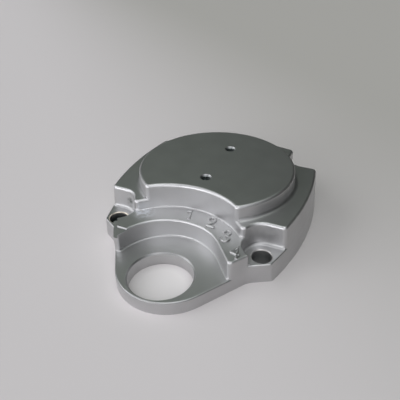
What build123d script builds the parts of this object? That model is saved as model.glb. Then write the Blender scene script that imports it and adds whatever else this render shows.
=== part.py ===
from build123d import *
from math import cos, radians, sin, sqrt, tan
import os

# Bolt square and the four corner pockets
BOLT_SQUARE_WIDTH = 90.0
BOLT_DIAMETER = 10.0
BOLT_CLEARANCE = 1.0
BOLT_CHAMFER = 0.5
HEAD_SEAT = 21.0
SEAT_RISE = 4.0
POCKET_FOOT = 2.0
SEAT_EDGE = 0.6

# Flange with four bulged sides
FLANGE_MARGIN = 15.0
FLANGE_SIDE_RADIUS = 165.0
FLANGE_DRAFT = 4.5
FLANGE_CORNER = 9.0
LEDGE_RISE = 6.5
LEDGE_EDGE = 1.6
LEDGE_CORNER = 2.5

# Round drum on the flange
DRUM_TO_SEAT = 5.6
DRUM_DRAFT = 1.5
DRUM_RISE = 9.0
DRUM_FOOT = 2.5
DRUM_CORNER = 2.5
DRUM_EDGE = 1.8

# Band between two arcs about one centre in front of the bolts, its inner arc straight at the right
BAND_AHEAD = 27.6
BAND_TO_EAR = 1.7
BAND_WIDTH = 13.0
BAND_STRAIGHT_ANGLE = 40.0
BAND_RISE = 7.5
BAND_TIP = 2.0
BAND_EDGE = 1.2
BAND_OUTER_FOOT = 1.0
BAND_INNER_FOOT = 1.2

# Left tip of the band: bevelled side and shallow step
TIP_BEVEL = 2.4
TIP_STEP_DEPTH = 0.6
TIP_STEP_AHEAD = 16.2
TIP_STEP_X = 27.0

# Ear plate with the bore
EAR_HEIGHT = 8.0
EAR_EDGE = 0.8
EAR_END_RADIUS = 28.7
EAR_AHEAD = 21.3
EAR_SIDE_ANGLE = 32.5
BORE_DIAMETER = 35.0
BORE_AHEAD = 30.5
BORE_CHAMFER = 0.8

# Front faces of the two front bosses
BOSS_FRONT_ANGLE = 30.0
BOSS_WALL = 1.4
BOSS_BLEND = 12.0
BOSS_CORNER = 2.5

# Two tapped holes in the drum
TAP_DIAMETER = 6.0
TAP_PITCH = 1.0
TAP_SPACING = 39.0
TAP_MIDDLE_Y = 3.0
TAP_COUNTERSINK = 0.5

# Hollow underside
WALL = 5.0
ROOF = 6.0
RIM_WALL = 6.0
CAVITY_ROUND = 2.0
TAP_BOSS_WALL = 4.0
TAP_BOSS_DROP = 6.0

# Sizes that follow
HALF_SQUARE = BOLT_SQUARE_WIDTH / 2
BOLT_HOLE_RADIUS = (BOLT_DIAMETER + BOLT_CLEARANCE) / 2
FLANGE_HALF = HALF_SQUARE + FLANGE_MARGIN
DRUM_RADIUS = HALF_SQUARE * sqrt(2) - HEAD_SEAT / 2 - DRUM_TO_SEAT
REACH = 2 * FLANGE_HALF
POCKET_FLOOR = EAR_HEIGHT + SEAT_RISE
BAND_HEIGHT = POCKET_FLOOR + BAND_RISE
LEDGE_HEIGHT = BAND_HEIGHT + LEDGE_RISE
DRUM_HEIGHT = LEDGE_HEIGHT + DRUM_RISE
BAND_CENTRE = Vector(0, -HALF_SQUARE - BAND_AHEAD)
BAND_INNER_RADIUS = EAR_END_RADIUS + BAND_TO_EAR
BAND_OUTER_RADIUS = BAND_INNER_RADIUS + BAND_WIDTH
EAR_END = Vector(0, -HALF_SQUARE - EAR_AHEAD)
BORE_Y = -HALF_SQUARE - BORE_AHEAD
FRONT_BOLT = Vector(HALF_SQUARE, -HALF_SQUARE)
SIDE_NORMAL = Vector(cos(radians(EAR_SIDE_ANGLE)), -sin(radians(EAR_SIDE_ANGLE)))
SIDE_DISTANCE = EAR_END.dot(SIDE_NORMAL) + EAR_END_RADIUS
BOSS_NORMAL = Vector(sin(radians(BOSS_FRONT_ANGLE)), -cos(radians(BOSS_FRONT_ANGLE)))
BOSS_DISTANCE = FRONT_BOLT.dot(BOSS_NORMAL) + BOLT_HOLE_RADIUS + BOSS_WALL
TAP_DRILL_RADIUS = (TAP_DIAMETER - TAP_PITCH) / 2
TAP_POINTS = [(0, TAP_MIDDLE_Y - TAP_SPACING / 2), (0, TAP_MIDDLE_Y + TAP_SPACING / 2)]


def crossing(normal_a, distance_a, normal_b, distance_b):
    """Point where two lines, each given by its normal and distance, cross."""
    scale = normal_a.X * normal_b.Y - normal_a.Y * normal_b.X
    x = (distance_a * normal_b.Y - distance_b * normal_a.Y) / scale
    y = (normal_a.X * distance_b - normal_b.X * distance_a) / scale
    return Vector(x, y)


def is_upright(edge):
    """True for an edge that climbs more than it runs sideways."""
    size = edge.bounding_box().size
    return size.Z > 2 * max(size.X, size.Y)


def upright_radius(shape, radius, wanted):
    """Round those upright edges whose middle the wanted test accepts, where there are any."""
    edges = shape.edges().filter_by(lambda e: is_upright(e) and wanted(e.center()))
    return fillet(edges, radius) if edges else shape


def on_boss_front(point):
    """True on the front face of a front boss, outside its bolt."""
    off = Vector(abs(point.X), point.Y).dot(BOSS_NORMAL) - BOSS_DISTANCE
    return abs(off) < BOSS_WALL and abs(point.X) > HALF_SQUARE


def bulged_square(inset):
    """Four bulged sides, moved inwards by the inset."""
    half = FLANGE_HALF - inset
    centre = FLANGE_HALF - FLANGE_SIDE_RADIUS
    radius = FLANGE_SIDE_RADIUS - inset
    corner = (centre + sqrt(2 * radius**2 - centre**2)) / 2
    sides = Curve() + [
        Rot(0, 0, turn) * ThreePointArc((corner, -corner), (half, 0), (corner, corner))
        for turn in (0, 90, 180, 270)
    ]
    return make_face(sides)


def ear_outline():
    """Round ear with two tangent sides that blend into the front bosses."""
    touch = EAR_END + SIDE_NORMAL * EAR_END_RADIUS
    knee = crossing(SIDE_NORMAL, SIDE_DISTANCE, BOSS_NORMAL, BOSS_DISTANCE)
    along = Vector(-BOSS_NORMAL.Y, BOSS_NORMAL.X)
    shoulder = knee + along * (BOLT_HOLE_RADIUS + BOSS_WALL)
    back = Vector(HALF_SQUARE, BAND_CENTRE.Y + BAND_OUTER_RADIUS)
    right = [touch, knee, shoulder, back]
    left = [Vector(-p.X, p.Y) for p in reversed(right)]
    tip = Vector(0, EAR_END.Y - EAR_END_RADIUS)
    outline = Polyline(*right, *left) + ThreePointArc(left[-1], tip, right[0])
    face = make_face(outline)
    knees = face.vertices().filter_by(lambda v: abs(v.Y - knee.Y) < BAND_EDGE)
    return fillet(knees, BOSS_BLEND)


def flange(height):
    """Drafted flange, cut off at the front faces of the two front bosses."""
    face = bulged_square(0)
    face = fillet(face.vertices().group_by(Axis.Y)[-1], FLANGE_CORNER)
    shape = extrude(face, amount=height, taper=FLANGE_DRAFT)
    slab = Pos(BOSS_DISTANCE + REACH / 4, 0, height / 2) * Box(REACH / 2, REACH, height)
    slab = Rot(0, 0, BOSS_FRONT_ANGLE - 90) * slab
    return shape - slab - mirror(slab, Plane.YZ)


def bolt_rooms(growth):
    """Plan of the room over each bolt, open to the outside, widened by the growth."""
    width = HEAD_SEAT + 2 * growth
    seat = Circle(width / 2) + Pos(REACH / 4, 0) * Rectangle(REACH / 2, width)
    seat += Pos(REACH / 4, REACH / 4) * Rectangle(REACH / 2, REACH / 2)
    back = seat + Pos(0, REACH / 4) * Rectangle(width, REACH / 2)
    front = mirror(seat, Plane.XZ)
    right = Pos(HALF_SQUARE, HALF_SQUARE) * back + Pos(HALF_SQUARE, -HALF_SQUARE) * front
    return right + mirror(right, Plane.YZ)


def band_disc(radius):
    return Pos(0, BAND_CENTRE.Y) * Circle(radius)


def scoop(radius):
    """Plan in front of the band's inner wall, with the straight stretch at the right."""
    turn = radians(BAND_STRAIGHT_ANGLE)
    start = BAND_CENTRE + Vector(cos(turn), sin(turn)) * radius
    end = start + Vector(sin(turn), -cos(turn)) * BAND_OUTER_RADIUS
    return band_disc(radius) + make_face(Polyline(BAND_CENTRE, start, end, close=True))


def round_top(shape, radius):
    return fillet(shape.faces().sort_by(Axis.Z)[-1].outer_wire().edges(), radius)


def ear_plate():
    return round_top(extrude(ear_outline(), amount=EAR_HEIGHT), EAR_EDGE)


def boss_plate():
    """Low level that carries the seats of the bolt heads."""
    shape = flange(POCKET_FLOOR)
    shape = upright_radius(shape, BOSS_CORNER, on_boss_front)
    shape += extrude(ear_outline(), amount=POCKET_FLOOR)
    shape = round_top(shape, SEAT_EDGE)
    start = BAND_CENTRE.Y + BAND_INNER_RADIUS / 2
    front = Pos(0, start - REACH / 2) * Rectangle(REACH, REACH) + scoop(BAND_INNER_RADIUS)
    return shape - extrude(front, amount=POCKET_FLOOR)


def band_plan():
    back = BAND_CENTRE.Y + BAND_OUTER_RADIUS + WALL
    front = -HALF_SQUARE - WALL
    field = Pos(0, (back + front) / 2) * Rectangle(BOLT_SQUARE_WIDTH, back - front)
    plan = ear_outline() + field - bolt_rooms(0) - scoop(BAND_INNER_RADIUS)
    for side in (-1, 1):
        half = plan.vertices().filter_by(lambda v: v.X * side > 0)
        plan = fillet(half.sort_by(Axis.Y)[0], BAND_TIP)
        bolt = Vector(side * HALF_SQUARE, -HALF_SQUARE)
        room = plan.vertices().filter_by(lambda v: abs((Vector(v) - bolt).length - HEAD_SEAT / 2) < BAND_EDGE)
        plan = fillet(room.sort_by(Axis.Y)[0], BAND_EDGE)
    return plan


def band():
    return round_top(extrude(band_plan(), amount=BAND_HEIGHT), BAND_EDGE)


def upper_flange():
    """Four bulged lobes between the bolt pockets, scooped out at the front."""
    front = Pos(0, -HALF_SQUARE - WALL - REACH / 2) * Rectangle(2 * REACH, REACH)
    cut = extrude(bolt_rooms(0) + band_disc(BAND_OUTER_RADIUS) + front, amount=LEDGE_HEIGHT)
    shape = flange(LEDGE_HEIGHT) - cut
    corners = shape.edges().filter_by(is_upright)
    corners = corners.filter_by(lambda e: e.geom_type != GeomType.LINE or e.center().Y < -HALF_SQUARE)
    return round_top(fillet(corners, LEDGE_CORNER), LEDGE_EDGE)


def drum():
    foot_radius = DRUM_RADIUS + DRUM_HEIGHT * tan(radians(DRUM_DRAFT))
    cone = Pos(0, 0, DRUM_HEIGHT / 2) * Cone(foot_radius, DRUM_RADIUS, DRUM_HEIGHT)
    shape = cone - extrude(band_disc(BAND_OUTER_RADIUS), amount=DRUM_HEIGHT)
    return round_top(upright_radius(shape, DRUM_CORNER, lambda c: c.Y < 0), DRUM_EDGE)


def foot(shape, floor, radius):
    """Radius at the foot of a shape that stands on the flat top of the floor block."""
    flat = floor.faces().sort_by(Axis.Z)[-1]
    level = flat.center().Z
    slab = Pos(0, 0, level + radius) * Box(2 * REACH, 2 * REACH, 2 * radius)
    air = slab - shape
    loop = air.faces().sort_by(Axis.Z)[0].inner_wires()[0].edges()
    return (slab - fillet(loop, radius)) & extrude(flat, amount=radius)


def shell():
    """Outer form with all its edge and foot radii."""
    ear = ear_plate()
    seats = boss_plate()
    ring = band()
    lobes = upper_flange()
    top = drum()
    shape = ear + seats + ring + lobes + top
    shape += foot(ring, ear, BAND_INNER_FOOT)
    shape += foot(ring + lobes, seats, POCKET_FOOT)
    shape += foot(lobes, ring, BAND_OUTER_FOOT)
    return shape + foot(top, lobes, DRUM_FOOT)


def tap_bosses():
    """Bosses that hang from the roof round the two tapped holes."""
    radius = TAP_DIAMETER / 2 + TAP_BOSS_WALL
    middle = DRUM_HEIGHT - ROOF - TAP_BOSS_DROP / 2
    return [Pos(x, y, middle) * Cylinder(radius, TAP_BOSS_DROP) for x, y in TAP_POINTS]


def cavity():
    """Hollow under the drum, the lobes and the band."""
    front = Pos(0, -HALF_SQUARE - REACH / 2) * Rectangle(2 * REACH, REACH)
    plan = bulged_square(RIM_WALL) - bolt_rooms(WALL) - front
    limit = HALF_SQUARE + CAVITY_ROUND
    low = extrude(plan - scoop(BAND_INNER_RADIUS + WALL), amount=BAND_HEIGHT - WALL)
    low = upright_radius(low, CAVITY_ROUND, lambda c: c.Y < -HALF_SQUARE + CAVITY_ROUND / 2)
    low = upright_radius(low, CAVITY_ROUND, lambda c: max(abs(c.X), abs(c.Y)) > limit)
    high = extrude(plan - band_disc(BAND_OUTER_RADIUS + WALL), amount=LEDGE_HEIGHT - WALL)
    high = upright_radius(high, CAVITY_ROUND, lambda c: max(abs(c.X), abs(c.Y)) > limit)
    round_room = Circle(DRUM_RADIUS - WALL) - band_disc(BAND_OUTER_RADIUS + WALL)
    top = extrude(round_room, amount=DRUM_HEIGHT - ROOF)
    top = upright_radius(top, CAVITY_ROUND, lambda c: c.Y < 0)
    return low + high + top - tap_bosses()


def bore():
    """Bore of the ear with a chamfer at its upper mouth."""
    radius = BORE_DIAMETER / 2
    mouth = Cone(radius, radius + BORE_CHAMFER, BORE_CHAMFER)
    shape = Cylinder(radius, REACH)
    return Pos(0, BORE_Y, EAR_HEIGHT) * (shape + Pos(0, 0, -BORE_CHAMFER / 2) * mouth)


def tapped_hole():
    """Tapping-size hole with a countersunk mouth, axis up, mouth at the origin."""
    mouth = TAP_DIAMETER / 2 + TAP_COUNTERSINK
    depth = mouth - TAP_DRILL_RADIUS
    sink = Pos(0, 0, -depth / 2) * Cone(TAP_DRILL_RADIUS, mouth, depth)
    return sink + Cylinder(TAP_DRILL_RADIUS, REACH)


def tip_step():
    """Shallow step at the band's left tip, its riser sloped at 45 degrees."""
    corner = Vector(-TIP_STEP_X, -HALF_SQUARE - TIP_STEP_AHEAD)
    face = Pos(corner.X - REACH / 2, corner.Y - REACH / 2) * Rectangle(REACH, REACH)
    return extrude(Pos(0, 0, BAND_HEIGHT - TIP_STEP_DEPTH) * face, amount=TIP_STEP_DEPTH, taper=-45)


def tip_bevel():
    """Bevel along the outer side of the band's left tip."""
    start = EAR_END + SIDE_NORMAL * EAR_END_RADIUS
    across = Plane((start.X, start.Y, BAND_HEIGHT), x_dir=SIDE_NORMAL, z_dir=(-SIDE_NORMAL.Y, SIDE_NORMAL.X, 0))
    corner = Polyline((TIP_BEVEL, TIP_BEVEL), (-TIP_BEVEL, TIP_BEVEL), (-TIP_BEVEL, 0), (0, -TIP_BEVEL), close=True)
    return mirror(extrude(across * make_face(corner), amount=BAND_OUTER_RADIUS), Plane.YZ)


def bolt_hole():
    """Clearance hole with a chamfered mouth, axis up, mouth at the origin."""
    mouth = Cone(BOLT_HOLE_RADIUS, BOLT_HOLE_RADIUS + BOLT_CHAMFER, BOLT_CHAMFER)
    return Cylinder(BOLT_HOLE_RADIUS, REACH) + Pos(0, 0, -BOLT_CHAMFER / 2) * mouth


def cover():
    shape = shell() - cavity() - bore() - tip_step() - tip_bevel()
    for x in (-HALF_SQUARE, HALF_SQUARE):
        for y in (-HALF_SQUARE, HALF_SQUARE):
            shape -= Pos(x, y, POCKET_FLOOR) * bolt_hole()
    for x, y in TAP_POINTS:
        shape -= Pos(x, y, DRUM_HEIGHT) * tapped_hole()
    return shape


os.makedirs("parts", exist_ok=True)
export_step(cover(), "parts/cover.step")
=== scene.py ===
from math import cos, log, pi, radians, sin

import bpy
from mathutils import Matrix, Vector


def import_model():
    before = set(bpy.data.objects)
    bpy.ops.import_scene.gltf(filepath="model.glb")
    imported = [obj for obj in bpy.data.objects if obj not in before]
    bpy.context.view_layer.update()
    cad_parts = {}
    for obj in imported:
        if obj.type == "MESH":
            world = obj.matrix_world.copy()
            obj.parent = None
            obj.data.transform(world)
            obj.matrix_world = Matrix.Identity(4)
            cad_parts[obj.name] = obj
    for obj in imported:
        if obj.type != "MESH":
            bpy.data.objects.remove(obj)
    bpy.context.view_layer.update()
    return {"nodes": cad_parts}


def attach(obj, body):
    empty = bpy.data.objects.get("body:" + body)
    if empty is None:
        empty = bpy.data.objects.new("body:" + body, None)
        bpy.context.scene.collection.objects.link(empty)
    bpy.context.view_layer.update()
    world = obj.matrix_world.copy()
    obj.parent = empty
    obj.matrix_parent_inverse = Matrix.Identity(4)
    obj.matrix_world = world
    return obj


MM = 0.001

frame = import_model()
cover = frame["nodes"]["cover"]

# Camera of the photograph: place in millimetres, angles in degrees, focal length in pixels of 400
CAMERA_PLACE = (95.6, -227.46, 172.45)
CAMERA_YAW = -25.306
CAMERA_PITCH = 33.534
CAMERA_ROLL = -1.192
CAMERA_FOCAL = 458.4
PICTURE_WIDTH = 400
SENSOR_WIDTH = 36.0

# Sizes of the cover that the scene's own pieces and marks need, in millimetres
HALF_SQUARE = 45.0
BOLT_HOLE_RADIUS = 5.5
SEAT_HEIGHT = 12.0
EAR_HEIGHT = 8.0
BORE_Y = -75.5
BORE_RADIUS = 17.5
BAND_HEIGHT = 19.5
LEDGE_HEIGHT = 26.0
DRUM_HEIGHT = 35.0
TAP_YS = (-16.5, 22.5)
TAP_RADIUS = 2.5
TAP_PITCH = 1.0

# Thread ridges: turns, straight steps in each turn, depth of the first turn and half thickness
THREAD_TURNS = 6
THREAD_STEPS = 24
THREAD_DEPTH = 0.9
THREAD_HALF = 0.28

# Raised numerals: strokes as places on the band's top, and their flat-topped section, in millimetres
NUMERALS = {
    "numeral_1": [[(-4.5, -33.4), (-2.4, -31.6), (-0.9, -39.4)]],
    "numeral_2": [[(10.0, -36.0), (10.4, -33.8), (12.1, -32.9), (13.7, -34.4), (13.4, -36.8),
                   (11.0, -40.3)],
                  [(10.7, -40.6), (15.6, -41.1)]],
    "numeral_3": [[(22.1, -43.2), (23.3, -41.0), (25.2, -41.2), (25.9, -43.1), (24.5, -45.0)],
                  [(24.5, -45.0), (26.7, -46.6), (26.7, -48.9), (24.6, -49.8), (22.3, -47.4)]],
    "numeral_4": [[(36.2, -60.9), (34.2, -51.9), (31.9, -57.0)], [(31.9, -57.0), (36.8, -57.9)]],
}
STRAIGHT_NUMERALS = ("numeral_1", "numeral_4")
NUMERAL_SECTION = [(-0.95, -0.1), (-0.65, 0.7), (-0.4, 0.9), (0.4, 0.9), (0.65, 0.7), (0.95, -0.1)]

# Blasted metal: darkest and palest cloud, range of roughness, depth of the grain in millimetres
CAST_TONES = ((0.51, 0.51, 0.513), (0.56, 0.56, 0.563))
CAST_ROUGHNESS = (0.40, 0.48)
GRAIN_DEPTH = 0.2

# Painted shade in the holes and in a crease, bare rims with a painted highlight, and brighter spots:
# places and reaches in millimetres, and strengths from 0 to 1.
# The hole shade and rim strengths are for the left and the right of the cover.
# Painted shade: the inside of the bolt and tapped holes, deeper on the left than on the right.
HOLE_SHADE_TONE = (0.008, 0.035, 0.03)
HOLE_SHADE_STRENGTHS = (1.0, 0.5)
# Bare metal at the top of each bolt hole: partly its own warm colour and partly a painted highlight,
# stronger on the left.
BARE_RIM_GLINT_TONE = (0.66, 0.60, 0.48)
BARE_RIM_GLINT_STRENGTHS = (0.7, 0.15)
SIDE_FADE = 10.0
# Painted shade: a soft streak down the bend of the left pocket's wall.
CREASE_SHADE_TONE = (0.08, 0.09, 0.08)
CREASE_SHADE_PLACES = ((-42.4, -35.6, 18.5), (-43.0, -36.2, 15.5))
CREASE_SHADE_REACH = 3.0
CREASE_SHADE_STRENGTH = 0.9
BRIGHT_TONE = (0.82, 0.85, 0.9)
BRIGHT_STRENGTH = 0.8
SPECK_PLACE = (-17.6, 15.0, DRUM_HEIGHT)
SPECK_REACH = 0.6
PATCH_PLACE = (-28.0, -43.5, BAND_HEIGHT)
PATCH_REACH = 8.0

# Painted shade that dulls the highlights, first on the ear's rim and then at the foot of each wall:
# lower height, depth, strength
PAINTED_SHADE_TONE = (0.2, 0.205, 0.2)
PAINTED_SHADE_BANDS = [
    (EAR_HEIGHT - 0.85, 1.0, 0.68),
    (EAR_HEIGHT, 1.2, 0.5),
    (SEAT_HEIGHT, 2.0, 0.45),
    (BAND_HEIGHT, 1.0, 0.35),
    (LEDGE_HEIGHT, 2.5, 0.4),
]

# Floor: half its width in metres, its colours near, far (painted shade) and under the bore (painted
# light), and how far back the near colour ends and the far colour starts, in millimetres
FLOOR_HALF = 6.0
FLOOR_NEAR_COLOUR = (0.663, 0.635, 0.635)
FLOOR_FAR_SHADE_COLOUR = (0.442, 0.432, 0.406)
FLOOR_BORE_LIGHT_COLOUR = (0.80, 0.775, 0.77)
FLOOR_NEAR_END = -120.0
FLOOR_FAR_START = 320.0

# Soft lights all round: direction from +Y towards +X and height in degrees, brightness
LIGHT_SPREAD = 22.0
LIGHTS = [
    (210, 4, 5.2),
    (180, 4, 3.7),
    (252, 38, 3.1),
    (144, 38, 3.0),
    (0, 90, 2.1),
    (135, 74, 1.3),
    (240, 4, 1.1),
    (195, 20, 0.9),
    (255, 20, 0.8),
    (150, 4, 0.5),
    (45, 74, 0.25),
    (270, 4, 0.2),
    (324, 38, 0.14),
]
FRONT_LIGHT_TONE = (0.99, 0.993, 1.028)
BACK_LIGHT_TONE = (0.9, 1.13, 0.87)
BELOW_LIGHT = 0.35
BACKDROP_LIGHT = 0.42
WHITE = (1.0, 1.0, 1.0)


def add(tree, kind, **settings):
    node = tree.nodes.new(kind)
    for key, value in settings.items():
        setattr(node, key, value)
    return node


def feed(tree, node, key, value):
    """Link a socket, or set a constant."""
    if isinstance(value, bpy.types.NodeSocket):
        tree.links.new(value, node.inputs[key])
    else:
        node.inputs[key].default_value = value


def calc(tree, operation, a, b=0.0, c=0.0):
    node = add(tree, "ShaderNodeMath", operation=operation)
    for key, value in enumerate((a, b, c)):
        feed(tree, node, key, value)
    return node.outputs[0]


def product(tree, *factors):
    result = factors[0]
    for factor in factors[1:]:
        result = calc(tree, "MULTIPLY", result, factor)
    return result


def remap(tree, source, low, high, new_low=0.0, new_high=1.0, curve="LINEAR"):
    node = add(tree, "ShaderNodeMapRange", interpolation_type=curve)
    feed(tree, node, "Value", source)
    names = ("From Min", "From Max", "To Min", "To Max")
    for key, value in zip(names, (low, high, new_low, new_high)):
        feed(tree, node, key, value)
    return node.outputs["Result"]


def noise(tree, source, scale, detail=3.0, roughness=0.5):
    """Noise, with the source in metres."""
    node = add(tree, "ShaderNodeTexNoise")
    names = ("Vector", "Scale", "Detail", "Roughness")
    for key, value in zip(names, (source, scale, detail, roughness)):
        feed(tree, node, key, value)
    return node.outputs["Fac"]


def mix(tree, factor, a, b):
    """Blend of two colours, each a socket or red, green and blue."""
    node = add(tree, "ShaderNodeMix", data_type="RGBA")
    feed(tree, node, 0, factor)
    for key, colour in ((6, a), (7, b)):
        feed(tree, node, key, (*colour, 1.0) if isinstance(colour, tuple) else colour)
    return node.outputs[2]


def axes(tree, vector):
    node = add(tree, "ShaderNodeSeparateXYZ")
    feed(tree, node, 0, vector)
    return node.outputs


def distance(tree, place, centre):
    node = add(tree, "ShaderNodeVectorMath", operation="DISTANCE")
    feed(tree, node, 0, place)
    feed(tree, node, 1, centre)
    return node.outputs["Value"]


def spot(tree, source, reach):
    """One at zero, falling to nothing at the reach on both sides."""
    return remap(tree, calc(tree, "ABSOLUTE", source), reach, reach * 0.25)


def positions(tree):
    """Texture coordinates, the place in metres and the same place in millimetres."""
    node = add(tree, "ShaderNodeTexCoord")
    place = node.outputs["Object"]
    scaled = add(tree, "ShaderNodeVectorMath", operation="SCALE")
    feed(tree, scaled, 0, place)
    feed(tree, scaled, "Scale", 1 / MM)
    return node, place, scaled.outputs[0]


def principled(name, colour, metallic, roughness):
    material = bpy.data.materials.new(name)
    material.use_nodes = True
    shader = material.node_tree.nodes["Principled BSDF"]
    shader.inputs["Base Color"].default_value = (*colour, 1.0)
    shader.inputs["Metallic"].default_value = metallic
    shader.inputs["Roughness"].default_value = roughness
    return material, material.node_tree, shader


def cast_metal():
    """Bead-blasted cast aluminium, with painted shade in its holes, in a crease, along its wall feet
    and on the ear's rim, bare rims with a painted highlight, and a brighter speck and patch.
    """
    material, tree, shader = principled("cast_aluminium", CAST_TONES[0], 1.0, 0.44)
    coordinates, place, spread = positions(tree)
    x, y, z = axes(tree, spread)
    tone = mix(tree, remap(tree, noise(tree, place, 60.0), 0.3, 0.7), *CAST_TONES)

    quarter = add(tree, "ShaderNodeCombineXYZ")
    feed(tree, quarter, 0, calc(tree, "ABSOLUTE", x))
    feed(tree, quarter, 1, calc(tree, "ABSOLUTE", y))
    from_bolt = distance(tree, quarter.outputs[0], (HALF_SQUARE, HALF_SQUARE, 0))
    from_wall = calc(tree, "SUBTRACT", from_bolt, BOLT_HOLE_RADIUS)
    # Painted shade inside the bolt holes and the tapped holes, stronger on the left of the cover.
    dark = product(tree, remap(tree, from_wall, 0.2, -0.05),
                   remap(tree, z, SEAT_HEIGHT - 0.5, SEAT_HEIGHT - 4.0))
    plan = add(tree, "ShaderNodeCombineXYZ")
    feed(tree, plan, 0, x)
    feed(tree, plan, 1, y)
    for tap in TAP_YS:
        from_tap = distance(tree, plan.outputs[0], (0, tap, 0))
        in_tap = product(tree, remap(tree, from_tap, TAP_RADIUS + 1.2, TAP_RADIUS + 0.7),
                         remap(tree, z, DRUM_HEIGHT + 0.2, DRUM_HEIGHT - 1.2))
        dark = calc(tree, "MAXIMUM", dark, in_tap)
    dark = product(tree, dark, remap(tree, x, -SIDE_FADE, SIDE_FADE, *HOLE_SHADE_STRENGTHS))
    # Bare metal at the top of each bolt hole, partly its own warm colour and partly a painted
    # highlight that fades from left to right.
    rim = product(tree, remap(tree, from_wall, 0.7, 0.5), remap(tree, from_wall, -0.3, -0.1),
                  remap(tree, z, SEAT_HEIGHT - 0.9, SEAT_HEIGHT - 0.6),
                  remap(tree, x, -SIDE_FADE, SIDE_FADE, *BARE_RIM_GLINT_STRENGTHS))
    tone = mix(tree, rim, tone, BARE_RIM_GLINT_TONE)
    tone = mix(tree, dark, tone, HOLE_SHADE_TONE)

    # Painted shade on sloped faces at the ear's rim and just above each floor, dulling their
    # highlights.
    upward = axes(tree, coordinates.outputs["Normal"])[2]
    slope = spot(tree, calc(tree, "SUBTRACT", upward, 0.55), 0.5)
    painted_shade = 0.0
    for height, depth, strength in PAINTED_SHADE_BANDS:
        layer = product(tree, remap(tree, z, height + depth, height + depth * 0.7),
                        remap(tree, z, height, height + 0.03, 0.0, strength))
        painted_shade = calc(tree, "MAXIMUM", painted_shade, layer)
    tone = mix(tree, product(tree, painted_shade, slope), tone, PAINTED_SHADE_TONE)

    # Painted shade: a soft streak down the bend of the left pocket's wall, broken up by noise.
    crease_shade = 0.0
    for centre in CREASE_SHADE_PLACES:
        shade_spot = spot(tree, distance(tree, spread, centre), CREASE_SHADE_REACH)
        crease_shade = calc(tree, "MAXIMUM", crease_shade, shade_spot)
    crease_shade = product(tree, crease_shade, remap(tree, noise(tree, place, 500.0), 0.35, 0.55, 0.3, 1.0))
    tone = mix(tree, product(tree, crease_shade, CREASE_SHADE_STRENGTH), tone, CREASE_SHADE_TONE)
    speck = spot(tree, distance(tree, spread, SPECK_PLACE), SPECK_REACH)
    patch = product(tree, spot(tree, distance(tree, spread, PATCH_PLACE), PATCH_REACH),
                    remap(tree, noise(tree, place, 380.0, 2.0), 0.4, 0.6),
                    remap(tree, z, BAND_HEIGHT + 0.5, BAND_HEIGHT + 0.1))
    bright = calc(tree, "MAXIMUM", speck, patch)
    tone = mix(tree, product(tree, bright, BRIGHT_STRENGTH), tone, BRIGHT_TONE)
    feed(tree, shader, "Base Color", tone)

    grain = noise(tree, place, 1500.0, 4.0, 0.6)
    feed(tree, shader, "Roughness", remap(tree, grain, 0.3, 0.7, *CAST_ROUGHNESS))
    bump = add(tree, "ShaderNodeBump")
    feed(tree, bump, "Strength", 0.1)
    feed(tree, bump, "Distance", GRAIN_DEPTH * MM)
    feed(tree, bump, "Height", grain)
    feed(tree, shader, "Normal", bump.outputs["Normal"])
    return material


metal = cast_metal()
cover.data.materials.clear()
cover.data.materials.append(metal)


def spline(data, run, kind, closed=False):
    """Line through the given places in millimetres."""
    line = data.splines.new(kind)
    points = line.bezier_points if kind == "BEZIER" else line.points
    points.add(len(run) - 1)
    for point, place in zip(points, run):
        if kind == "BEZIER":
            point.co = Vector(place) * MM
            point.handle_left_type = point.handle_right_type = "AUTO"
        else:
            point.co = (*(Vector(place) * MM), 1.0)
    line.use_cyclic_u = closed


def piece_of(name, data):
    """Turn a curve into a mesh piece of the casting."""
    data.use_fill_caps = True
    line = bpy.data.objects.new(name, data)
    bpy.context.scene.collection.objects.link(line)
    bpy.context.view_layer.update()
    made = line.evaluated_get(bpy.context.evaluated_depsgraph_get())
    mesh = bpy.data.meshes.new_from_object(made)
    bpy.data.objects.remove(line)
    mesh.name = name
    mesh.materials.clear()
    mesh.materials.append(metal)
    piece = bpy.data.objects.new(name, mesh)
    bpy.context.scene.collection.objects.link(piece)
    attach(piece, "root")


def numerals():
    """Raised numerals on the band, each stroke a bar with the same section."""
    outline = bpy.data.curves.new("section", "CURVE")
    outline.dimensions = "2D"
    spline(outline, [(x, y, 0) for x, y in NUMERAL_SECTION], "POLY", True)
    section = bpy.data.objects.new("section", outline)
    for name, strokes in NUMERALS.items():
        data = bpy.data.curves.new(name, "CURVE")
        data.dimensions = "3D"
        data.twist_mode = "Z_UP"
        data.bevel_mode = "OBJECT"
        data.bevel_object = section
        for stroke in strokes:
            run = [(x, y, BAND_HEIGHT) for x, y in stroke]
            spline(data, run, "POLY" if name in STRAIGHT_NUMERALS else "BEZIER")
        piece_of(name, data)
    bpy.data.objects.remove(section)


def threads():
    """Thread ridges in the two tapped holes of the drum."""
    radius = TAP_RADIUS * 1.03
    for number, tap in enumerate(TAP_YS, 1):
        run = []
        for step in range(THREAD_STEPS * THREAD_TURNS + 1):
            angle = 2 * pi * step / THREAD_STEPS
            depth = THREAD_DEPTH + TAP_PITCH * step / THREAD_STEPS
            run.append((radius * cos(angle), tap + radius * sin(angle), DRUM_HEIGHT - depth))
        data = bpy.data.curves.new(f"thread_{number}", "CURVE")
        data.dimensions = "3D"
        data.bevel_depth = THREAD_HALF * MM
        data.bevel_resolution = 1
        spline(data, run, "POLY")
        piece_of(f"thread_{number}", data)


numerals()
threads()


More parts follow.
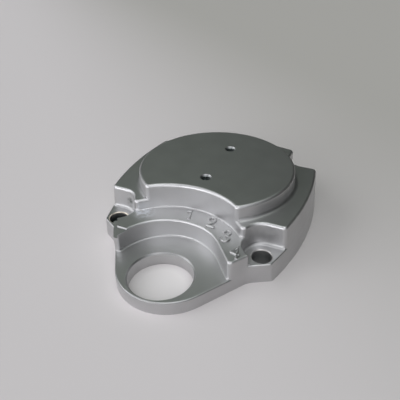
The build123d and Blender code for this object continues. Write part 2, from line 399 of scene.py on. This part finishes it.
def floor():
    """Pale paper, with painted shade darkening it towards the back and a painted pool of light under
    the bore.
    """
    mesh = bpy.data.meshes.new("floor")
    corners = [(x * FLOOR_HALF, y * FLOOR_HALF, 0) for x, y in ((-1, -1), (1, -1), (1, 1), (-1, 1))]
    mesh.from_pydata(corners, [], [(0, 1, 2, 3)])
    item = bpy.data.objects.new("floor", mesh)
    bpy.context.scene.collection.objects.link(item)
    material, tree, shader = principled("floor_paper", FLOOR_NEAR_COLOUR, 0.0, 0.9)
    shader.inputs["Specular IOR Level"].default_value = 0.1
    spread = positions(tree)[2]
    x, y, _ = axes(tree, spread)
    # Painted shade: the floor darkens towards the back.
    away = remap(tree, calc(tree, "MULTIPLY_ADD", x, 0.9, y), FLOOR_NEAR_END, FLOOR_FAR_START,
                 curve="SMOOTHSTEP")
    tone = mix(tree, away, FLOOR_NEAR_COLOUR, FLOOR_FAR_SHADE_COLOUR)
    # Painted light: a paler pool on the floor under the bore.
    from_bore = distance(tree, spread, (0, BORE_Y, 0))
    bore_light_spot = remap(tree, from_bore, BORE_RADIUS + 0.5, BORE_RADIUS - 5.5)
    feed(tree, shader, "Base Color", mix(tree, bore_light_spot, tone, FLOOR_BORE_LIGHT_COLOUR))
    mesh.materials.append(material)


floor()


def world():
    """Studio of soft lights, each a smooth glow round its direction; plain grey to the camera."""
    item = bpy.data.worlds.new("studio")
    bpy.context.scene.world = item
    item.use_nodes = True
    tree = item.node_tree
    ground = tree.nodes["Background"]
    direction = add(tree, "ShaderNodeTexCoord").outputs["Generated"]
    total = 0.0
    for azimuth, height, brightness in LIGHTS:
        turn, rise = radians(azimuth), radians(height)
        towards = add(tree, "ShaderNodeVectorMath", operation="DOT_PRODUCT")
        feed(tree, towards, 0, direction)
        feed(tree, towards, 1, (sin(turn) * cos(rise), cos(turn) * cos(rise), sin(rise)))
        power = calc(tree, "MULTIPLY_ADD", towards.outputs["Value"], LIGHT_SPREAD,
                     log(brightness) - LIGHT_SPREAD)
        total = calc(tree, "ADD", calc(tree, "EXPONENT", power), total)
    _, y, z = axes(tree, direction)
    total = calc(tree, "ADD", total, remap(tree, z, -0.05, -0.3, 0.0, BELOW_LIGHT))
    seen = add(tree, "ShaderNodeLightPath").outputs["Is Camera Ray"]
    plain = product(tree, seen, BACKDROP_LIGHT)
    unseen = calc(tree, "SUBTRACT", 1.0, seen)
    feed(tree, ground, "Strength", calc(tree, "MULTIPLY_ADD", total, unseen, plain))
    tone = mix(tree, remap(tree, y, 0.0, 0.5), FRONT_LIGHT_TONE, BACK_LIGHT_TONE)
    feed(tree, ground, "Color", mix(tree, seen, tone, WHITE))


world()


def camera():
    """Camera at the place from which the photograph was taken."""
    yaw, pitch, roll = radians(CAMERA_YAW), radians(CAMERA_PITCH), radians(CAMERA_ROLL)
    ahead = Vector((sin(yaw) * cos(pitch), cos(yaw) * cos(pitch), -sin(pitch)))
    right = Vector((cos(yaw), -sin(yaw), 0))
    up = right.cross(ahead)
    turned_right = cos(roll) * right + sin(roll) * up
    turned_up = -sin(roll) * right + cos(roll) * up
    data = bpy.data.cameras.new("camera")
    data.sensor_width = SENSOR_WIDTH
    data.lens = CAMERA_FOCAL * SENSOR_WIDTH / PICTURE_WIDTH
    data.clip_start = 0.01
    data.clip_end = 50
    item = bpy.data.objects.new("camera", data)
    turn = Matrix((turned_right, turned_up, -ahead)).transposed().to_4x4()
    item.matrix_world = Matrix.Translation(Vector(CAMERA_PLACE) * MM) @ turn
    bpy.context.scene.collection.objects.link(item)
    bpy.context.scene.camera = item


camera()
bpy.context.scene.view_settings.view_transform = "Standard"
